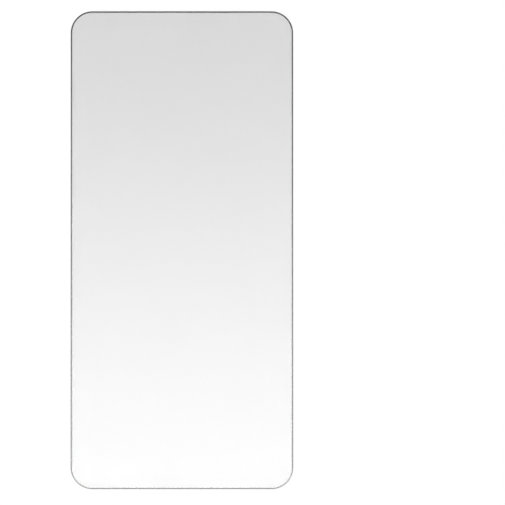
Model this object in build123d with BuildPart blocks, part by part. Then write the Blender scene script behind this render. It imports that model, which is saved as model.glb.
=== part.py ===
"""Phone screen protector: one clear sheet of tempered glass with a curved front edge.

Millimetres. The sheet lies on its back face. +X runs across the width, +Y along the length
and +Z up through the glass to the touch face. The origin is the middle of the back face.
"""

import os

from build123d import *

# Outline of the sheet, seen from the front
width = 73.9
length = 158.8
corner_radius = 7.2

# Section of the glass at its edge, from the back face to the touch face
thickness = 0.33
back_edge_chamfer = 0.04
side_land = 0.08
edge_curve_width = 0.45

# The front edge's curve falls by what the chamfer and the upright land leave of the thickness
edge_curve_height = thickness - back_edge_chamfer - side_land

# The rim that carries the curve surrounds a plain middle with the same corner centres
middle_width = width - 2 * edge_curve_width
middle_length = length - 2 * edge_curve_width
middle_corner_radius = corner_radius - edge_curve_width

# Outline that the edge's section is carried along
with BuildSketch() as outline:
    RectangleRounded(width, length, corner_radius)

# Section of the rim, cut across the middle of the right-hand side
side_x = width / 2
rim_inner_x = side_x - edge_curve_width
curve_foot_z = back_edge_chamfer + side_land

with BuildSketch(Plane.XZ) as rim_section:
    with BuildLine():
        Polyline(
            (rim_inner_x, thickness),
            (rim_inner_x, 0),
            (side_x - back_edge_chamfer, 0),
            (side_x, back_edge_chamfer),
            (side_x, curve_foot_z),
        )
        EllipticalCenterArc(
            (rim_inner_x, curve_foot_z),
            edge_curve_width,
            edge_curve_height,
            start_angle=0,
            arc_size=90,
        )
    make_face()

# The glass: a flat middle, and the ground rim swept round it
with BuildPart() as glass_sheet:
    with BuildSketch():
        RectangleRounded(middle_width, middle_length, middle_corner_radius)
    extrude(amount=thickness)
    sweep(sections=rim_section.sketch, path=outline.wire())

os.makedirs("parts", exist_ok=True)
glass_sheet.part.label = "glass_sheet"
export_step(glass_sheet.part, "parts/glass_sheet.step")
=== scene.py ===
"""Phone screen protector: the looks of its glass, with a floor, soft light and the camera.

Metres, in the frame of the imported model. The sheet lies on its back face at the origin, with
+Y along its length and +Z up out of the touch face.
"""

import math

import bmesh
import bpy
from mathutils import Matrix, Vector


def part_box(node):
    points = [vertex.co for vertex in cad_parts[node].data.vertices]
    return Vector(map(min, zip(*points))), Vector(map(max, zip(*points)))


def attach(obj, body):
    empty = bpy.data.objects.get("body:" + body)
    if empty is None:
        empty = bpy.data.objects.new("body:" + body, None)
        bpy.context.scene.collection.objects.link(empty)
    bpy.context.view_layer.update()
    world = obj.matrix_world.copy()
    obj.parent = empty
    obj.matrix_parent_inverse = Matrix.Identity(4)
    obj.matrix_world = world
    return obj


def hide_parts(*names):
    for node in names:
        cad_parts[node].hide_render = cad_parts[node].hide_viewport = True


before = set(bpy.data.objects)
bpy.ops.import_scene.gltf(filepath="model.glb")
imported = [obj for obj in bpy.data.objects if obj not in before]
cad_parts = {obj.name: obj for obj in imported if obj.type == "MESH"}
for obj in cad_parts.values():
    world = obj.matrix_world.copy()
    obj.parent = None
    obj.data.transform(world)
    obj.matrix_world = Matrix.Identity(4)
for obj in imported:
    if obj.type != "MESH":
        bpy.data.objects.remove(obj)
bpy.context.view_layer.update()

# The sheet's own sizes, from its solid
sheet_low, sheet_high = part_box("glass_sheet")
half_width = (sheet_high.x - sheet_low.x) / 2
half_length = (sheet_high.y - sheet_low.y) / 2
thickness = sheet_high.z - sheet_low.z

# Sizes of the outline's corners and of the edge's section, the same as the solid's
corner_radius = 0.0072
edge_curve_width = 0.00045
side_land = 0.00008
back_edge_chamfer = 0.00004

# How finely the mesh follows the outline and the edge's curve, and how it divides the flat faces
corner_steps = 40
curve_steps = 16
side_step = 0.004
sharp_turn = math.radians(30)

# The corners' centres, and the steps between them across and along the sheet
centre_x = half_width - corner_radius
centre_y = half_length - corner_radius
columns = round(2 * centre_x / side_step)
rows = round(2 * centre_y / side_step)

# A flat border inside the curve, so that the curve's shading doesn't run on over the touch face
flat_border = 0.0003

# Material slots of the piece
face_slot = 0
edge_slot = 1

# Glass: how it bends light, what its faces let through, and the edge's black, which is painted shade for
# the dark line along the edge
glass_ior = 1.52
face_tint = 0.94
# The edge glass is black: painted shade standing in for the dark line along the sheet's edge
edge_painted_shade = 0.0
edge_coat_ior = 2.4
edge_coat_roughness = 0.15

# Glass: the polish of the faces, with the faint streaks of a wipe across them
face_roughness = (0.0, 0.04)
streak_size = (0.006, 0.07, 1.0)
streak_turn = math.radians(-28)
streak_detail = 3.0
streak_contrast = (0.4, 0.75)

# Glass: the fine grain of the ground edge
edge_roughness = (0.12, 0.26)
grain_size = 0.0004
grain_depth = 0.000003
grain_detail = 2.0
grain_contrast = (0.3, 0.7)

# The photograph: 505 pixels square, with the sheet's middle left of its own middle
picture_pixels = 505
sheet_middle_pixel = (181.93, 250.2)
sheet_length_pixels = 477.8
metres_per_pixel = 2 * half_length / sheet_length_pixels

# Camera, straight above the sheet with a long lens
camera_height = 1.0
sensor_millimetres = 36

# Floor, a hair below the sheet so that the two faces don't share a plane
floor_gap = 0.00005
floor_half_side = 3.0
floor_grey = 0.6
floor_top_up = 0.41

# Light: the bright band overhead, by the lean of its two edges, its reach to the sides and its level
band_soft_edge = math.radians(5.9)
band_inner = math.radians(26)
band_outer = math.radians(37)
band_full = 0.33
band_end = 0.7
band_level = 4.15

# Light: the strips round the sheet, by number, slant, bright part of their wave, height and level
strip_count = 20
strip_slant = 20
strip_dark = 0.3
strip_bright = 0.36
strip_full = math.radians(40)
strip_head = math.radians(55)
strip_level = 2.2

# Light: the pale wall behind the strips, what comes from everywhere, and the white that the camera sees
wall_low = math.radians(8)
wall_head = math.radians(26)
wall_level = 0.3
ambient_level = 0.08
backdrop_level = 1.0


# Nodes
def new_material(name):
    """A node material with nothing but an output: the material, its node tree and that output."""
    material = bpy.data.materials.new(name)
    material.use_nodes = True
    material.node_tree.nodes.clear()
    output = material.node_tree.nodes.new("ShaderNodeOutputMaterial")
    return material, material.node_tree, output


def add_node(tree, kind, **settings):
    """A node of that kind with its settings, and its plain inputs given by name in inputs."""
    node = tree.nodes.new(kind)
    inputs = settings.pop("inputs", {})
    for name, value in settings.items():
        setattr(node, name, value)
    for name, value in inputs.items():
        node.inputs[name].default_value = value
    return node


def calculate(tree, operation, *values):
    """The output of a maths node fed with sockets or plain numbers."""
    node = add_node(tree, "ShaderNodeMath", operation=operation)
    for socket, value in zip(node.inputs, values):
        if isinstance(value, bpy.types.NodeSocket):
            tree.links.new(value, socket)
        else:
            socket.default_value = value
    return node.outputs[0]


def ramp(tree, value, start, end, low=0.0, high=1.0):
    """The output of a node that goes smoothly from low to high as value goes from start to end."""
    limits = {"From Min": start, "From Max": end, "To Min": low, "To Max": high}
    node = add_node(tree, "ShaderNodeMapRange", interpolation_type="SMOOTHSTEP", inputs=limits)
    tree.links.new(value, node.inputs["Value"])
    return node.outputs["Result"]


def grey(level):
    """A colour with no hue."""
    return (level, level, level, 1)


# Glass of the two faces
def face_glass():
    """Clear polished glass, with the faintest streaks where a cloth has passed over it."""
    material, tree, output = new_material("face_glass")
    glass = add_node(
        tree,
        "ShaderNodeBsdfPrincipled",
        inputs={
            "Base Color": grey(face_tint),
            "IOR": glass_ior,
            "Transmission Weight": 1.0,
        },
    )
    where = add_node(tree, "ShaderNodeTexCoord")
    wipe = add_node(
        tree,
        "ShaderNodeMapping",
        vector_type="TEXTURE",
        inputs={"Rotation": (0, 0, streak_turn), "Scale": streak_size},
    )
    streaks = add_node(tree, "ShaderNodeTexNoise", inputs={"Scale": 1.0, "Detail": streak_detail})
    low, high = face_roughness
    roughness = ramp(tree, streaks.outputs["Fac"], *streak_contrast, low=low, high=high)
    tree.links.new(where.outputs["Object"], wipe.inputs["Vector"])
    tree.links.new(wipe.outputs["Vector"], streaks.inputs["Vector"])
    tree.links.new(roughness, glass.inputs["Roughness"])
    tree.links.new(glass.outputs["BSDF"], output.inputs["Surface"])
    return material


# Glass of the ground edge, black as painted shade
def edge_glass_painted_shade():
    """Edge glass that lets no light through, as painted shade for the dark line along the edge, under a
    shiny coat, with a fine grain in both.
    """
    material, tree, output = new_material("edge_glass_painted_shade")
    glass = add_node(
        tree,
        "ShaderNodeBsdfPrincipled",
        inputs={
            # Black base colour: painted shade for the dark line along the edge
            "Base Color": grey(edge_painted_shade),
            "IOR": glass_ior,
            "Transmission Weight": 1.0,
            "Coat Weight": 1.0,
            "Coat Roughness": edge_coat_roughness,
            "Coat IOR": edge_coat_ior,
        },
    )
    where = add_node(tree, "ShaderNodeTexCoord")
    grain = add_node(tree, "ShaderNodeTexNoise", inputs={"Scale": 1 / grain_size, "Detail": grain_detail})
    bump = add_node(tree, "ShaderNodeBump", inputs={"Distance": grain_depth})
    low, high = edge_roughness
    roughness = ramp(tree, grain.outputs["Fac"], *grain_contrast, low=low, high=high)
    tree.links.new(where.outputs["Object"], grain.inputs["Vector"])
    tree.links.new(grain.outputs["Fac"], bump.inputs["Height"])
    tree.links.new(bump.outputs["Normal"], glass.inputs["Coat Normal"])
    tree.links.new(roughness, glass.inputs["Roughness"])
    tree.links.new(glass.outputs["BSDF"], output.inputs["Surface"])
    return material


# Mesh of the sheet
def stepped(start, end, count):
    """Points along a straight stretch in even steps, from start up to but not including end."""
    return [start.lerp(end, step / count) for step in range(count)]


def ring(inset, height):
    """Points round the sheet at a height, set in from its outline, anticlockwise from above."""
    radius = corner_radius - inset
    corners = []
    for turn, (sign_x, sign_y) in enumerate(((1, 1), (-1, 1), (-1, -1), (1, -1))):
        centre = Vector((sign_x * centre_x, sign_y * centre_y, height))
        angles = [(turn + step / corner_steps) * math.pi / 2 for step in range(corner_steps + 1)]
        corners.append([centre + radius * Vector((math.cos(a), math.sin(a), 0)) for a in angles])
    points = []
    for here, after, count in zip(corners, corners[1:] + corners[:1], (columns, rows, columns, rows)):
        points += here[:-1] + stepped(here[-1], after[0], count)
    return points


def edge_section():
    """Inset and height of each ring, from under the edge, out, up and over its curve to the touch face."""
    curve_foot = back_edge_chamfer + side_land
    curve_height = thickness - curve_foot
    rings = [(back_edge_chamfer, 0), (0, back_edge_chamfer)]
    for step in range(curve_steps + 1):
        angle = step / curve_steps * math.pi / 2
        inset = edge_curve_width * (1 - math.cos(angle))
        rings.append((inset, curve_foot + curve_height * math.sin(angle)))
    rings.append((edge_curve_width + flat_border, thickness))
    return rings


def quads(one, other):
    """Corners of the quads between two rows of points that run side by side."""
    return list(zip(one, one[1:], other[1:], other))


def add_faces(mesh, faces, slot, upward=True):
    """Smooth faces of one material. Those that look down have their corners turned round."""
    for corners in faces:
        face = mesh.faces.new(corners if upward else corners[::-1])
        face.material_index = slot
        face.smooth = True


def flat_face(mesh, border, height, upward):
    """Fills a ring: a grid between the corners' centres, a strip along each side, a fan in each corner."""
    grid = []
    for row in range(rows + 1):
        y = centre_y * (2 * row / rows - 1)
        across = [centre_x * (2 * column / columns - 1) for column in range(columns + 1)]
        grid.append([mesh.verts.new((x, y, height)) for x in across])
    faces = []
    for lower, upper in zip(grid, grid[1:]):
        faces += quads(lower, upper)
    left = [row[0] for row in grid]
    right = [row[-1] for row in grid]
    outer = border + border[:1]
    start = 0
    for inner in (grid[-1][::-1], left[::-1], grid[0], right):
        arc_end = start + corner_steps
        side_end = arc_end + len(inner) - 1
        arc = outer[start : arc_end + 1]
        faces += [(inner[0], here, after) for here, after in zip(arc, arc[1:])]
        faces += quads(outer[arc_end : side_end + 1], inner)
        start = side_end
    add_faces(mesh, faces, face_slot, upward)


def glass_sheet():
    """The sheet as one closed mesh, fine enough for its edge's curve to shine smoothly."""
    mesh = bmesh.new()
    rings = [[mesh.verts.new(point) for point in ring(inset, height)] for inset, height in edge_section()]
    for lower, upper in zip(rings, rings[1:]):
        # The last step is the flat border, which is as clear as the touch face
        # All other steps take the edge glass, whose black is painted shade
        slot = face_slot if upper is rings[-1] else edge_slot
        add_faces(mesh, quads(lower + lower[:1], upper + upper[:1]), slot)
    flat_face(mesh, rings[0], 0, upward=False)
    flat_face(mesh, rings[-1], thickness, upward=True)
    data = bpy.data.meshes.new("clear_sheet")
    mesh.to_mesh(data)
    mesh.free()
    data.set_sharp_from_angle(angle=sharp_turn)
    data.materials.append(face_glass())
    data.materials.append(edge_glass_painted_shade())
    piece = bpy.data.objects.new("clear_sheet", data)
    bpy.context.scene.collection.objects.link(piece)
    return piece


sheet = glass_sheet()
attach(sheet, "root")
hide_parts("glass_sheet")


# Floor
def pale_floor():
    """White floor that takes the sheet's shadow, topped up to white where it is seen."""
    material, tree, output = new_material("pale_floor")
    diffuse = add_node(tree, "ShaderNodeBsdfDiffuse", inputs={"Color": grey(floor_grey)})
    glow = add_node(tree, "ShaderNodeEmission")
    both = add_node(tree, "ShaderNodeAddShader")
    path = add_node(tree, "ShaderNodeLightPath").outputs
    through_glass = calculate(tree, "MAXIMUM", path["Is Glossy Ray"], path["Is Transmission Ray"])
    seen = calculate(tree, "MAXIMUM", path["Is Camera Ray"], through_glass)
    tree.links.new(calculate(tree, "MULTIPLY", seen, floor_top_up), glow.inputs["Strength"])
    tree.links.new(diffuse.outputs["BSDF"], both.inputs[0])
    tree.links.new(glow.outputs["Emission"], both.inputs[1])
    tree.links.new(both.outputs["Shader"], output.inputs["Surface"])
    return material


def floor():
    """A plain square floor under the sheet."""
    side = floor_half_side
    data = bpy.data.meshes.new("floor")
    corners = [(-side, -side, 0), (side, -side, 0), (side, side, 0), (-side, side, 0)]
    data.from_pydata(corners, [], [(0, 1, 2, 3)])
    data.materials.append(pale_floor())
    piece = bpy.data.objects.new("floor", data)
    piece.location.z = sheet_low.z - floor_gap
    bpy.context.scene.collection.objects.link(piece)
    return piece


floor()


# Light
def overhead_band(tree, across, along, up):
    """A broad bright band from overhead towards -Y. Its soft edge is what the touch face mirrors."""
    lean = calculate(tree, "ARCTAN2", along, up)
    near_side = ramp(tree, lean, band_soft_edge, -band_soft_edge)
    far_side = ramp(tree, lean, -band_outer, -band_inner)
    reach = ramp(tree, calculate(tree, "ABSOLUTE", across), band_end, band_full)
    return calculate(tree, "MULTIPLY", calculate(tree, "MULTIPLY", near_side, far_side), reach)


def leaning_strips(tree, across, along, up):
    """Strips of light all round, slanted so that from low angles the sheet mirrors the edge of one."""
    heading = calculate(tree, "ARCTAN2", across, calculate(tree, "MULTIPLY", along, -1))
    slant = calculate(tree, "MULTIPLY", calculate(tree, "ARCSINE", up), strip_slant)
    wave = calculate(tree, "COSINE", calculate(tree, "MULTIPLY_ADD", heading, strip_count, slant))
    head = ramp(tree, up, math.sin(strip_head), math.sin(strip_full))
    strips = calculate(tree, "MULTIPLY", ramp(tree, wave, strip_dark, strip_bright), head)
    return calculate(tree, "MULTIPLY", strips, calculate(tree, "MAXIMUM", up, 0))


def pale_wall(tree, up):
    """A pale wall that fades upwards from the horizon."""
    return ramp(tree, up, math.sin(wall_head), math.sin(wall_low))


def soft_light():
    """The world: an overhead band, leaning strips and a pale wall. The camera itself sees it white."""
    world = bpy.data.worlds.new("soft_light")
    bpy.context.scene.world = world
    world.use_nodes = True
    tree = world.node_tree
    tree.nodes.clear()
    output = add_node(tree, "ShaderNodeOutputWorld")
    where = add_node(tree, "ShaderNodeTexCoord")
    split = add_node(tree, "ShaderNodeSeparateXYZ")
    tree.links.new(where.outputs["Generated"], split.inputs["Vector"])
    across, along, up = split.outputs
    band = overhead_band(tree, across, along, up)
    strips = leaning_strips(tree, across, along, up)
    wall = pale_wall(tree, up)
    level = calculate(tree, "MULTIPLY_ADD", band, band_level, ambient_level)
    level = calculate(tree, "MULTIPLY_ADD", strips, strip_level, level)
    level = calculate(tree, "MULTIPLY_ADD", wall, wall_level, level)
    path = add_node(tree, "ShaderNodeLightPath")
    mix = add_node(tree, "ShaderNodeMix", inputs={"B": backdrop_level})
    light = add_node(tree, "ShaderNodeBackground", inputs={"Color": grey(1)})
    tree.links.new(path.outputs["Is Camera Ray"], mix.inputs["Factor"])
    tree.links.new(level, mix.inputs["A"])
    tree.links.new(mix.outputs["Result"], light.inputs["Strength"])
    tree.links.new(light.outputs["Background"], output.inputs["Surface"])


soft_light()


# Camera
def camera():
    """Looks straight down, framed so that the sheet falls where the photograph shows it."""
    data = bpy.data.cameras.new("camera")
    data.sensor_width = sensor_millimetres
    data.lens = sensor_millimetres * camera_height / (picture_pixels * metres_per_pixel)
    piece = bpy.data.objects.new("camera", data)
    right = (picture_pixels / 2 - sheet_middle_pixel[0]) * metres_per_pixel
    down = (picture_pixels / 2 - sheet_middle_pixel[1]) * metres_per_pixel
    piece.location = (right, -down, sheet_high.z + camera_height)
    bpy.context.scene.collection.objects.link(piece)
    bpy.context.scene.camera = piece


camera()

bpy.context.scene.view_settings.view_transform = "Standard"
